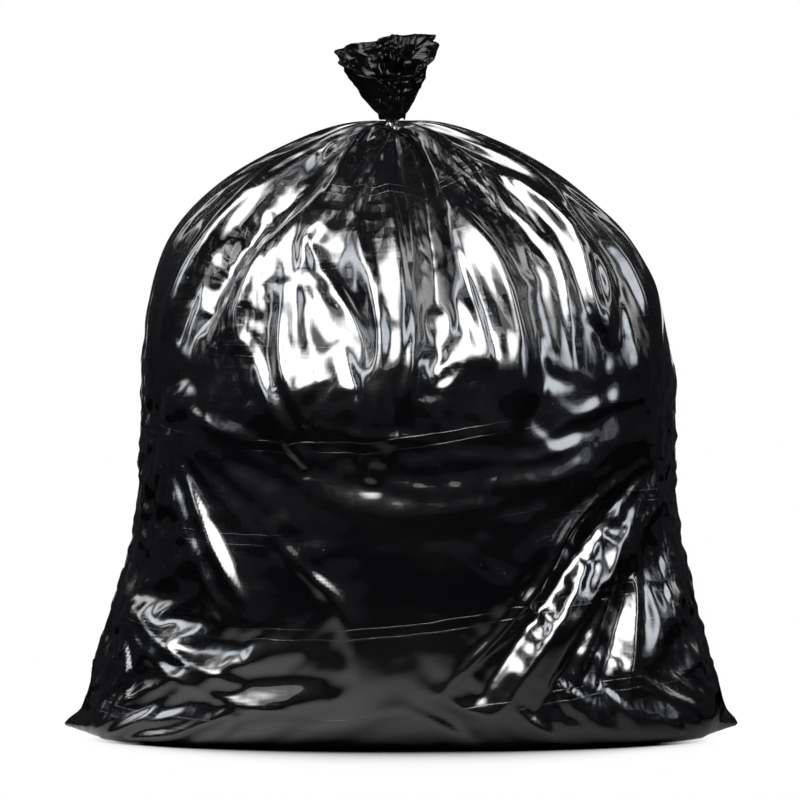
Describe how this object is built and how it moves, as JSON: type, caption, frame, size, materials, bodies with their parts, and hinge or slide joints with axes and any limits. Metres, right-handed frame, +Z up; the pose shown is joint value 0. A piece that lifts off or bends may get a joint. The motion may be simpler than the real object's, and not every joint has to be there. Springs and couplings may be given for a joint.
{
  "type": "full bin bag",
  "caption": "Full refuse bag of glossy black film, standing on its flat base, gathered and tied at the neck, with its open mouth spread in a ruffled tuft above the tie.",
  "frame": {"origin": "middle of the bag's bounding box, on the floor that it stands on", "axes": "+Z up, -Y the front in the picture, +X to the right seen from the front"},
  "size_m": [0.6814, 0.3954, 0.7006],
  "materials": {
    "black_film": "glossy thin film with folds, crinkles and faint packing creases",
    "tie_band": "satin"
  },
  "bodies": {
    "root": {"bag": "black_film", "neck_tie": "tie_band"}
  },
  "joints": []
}
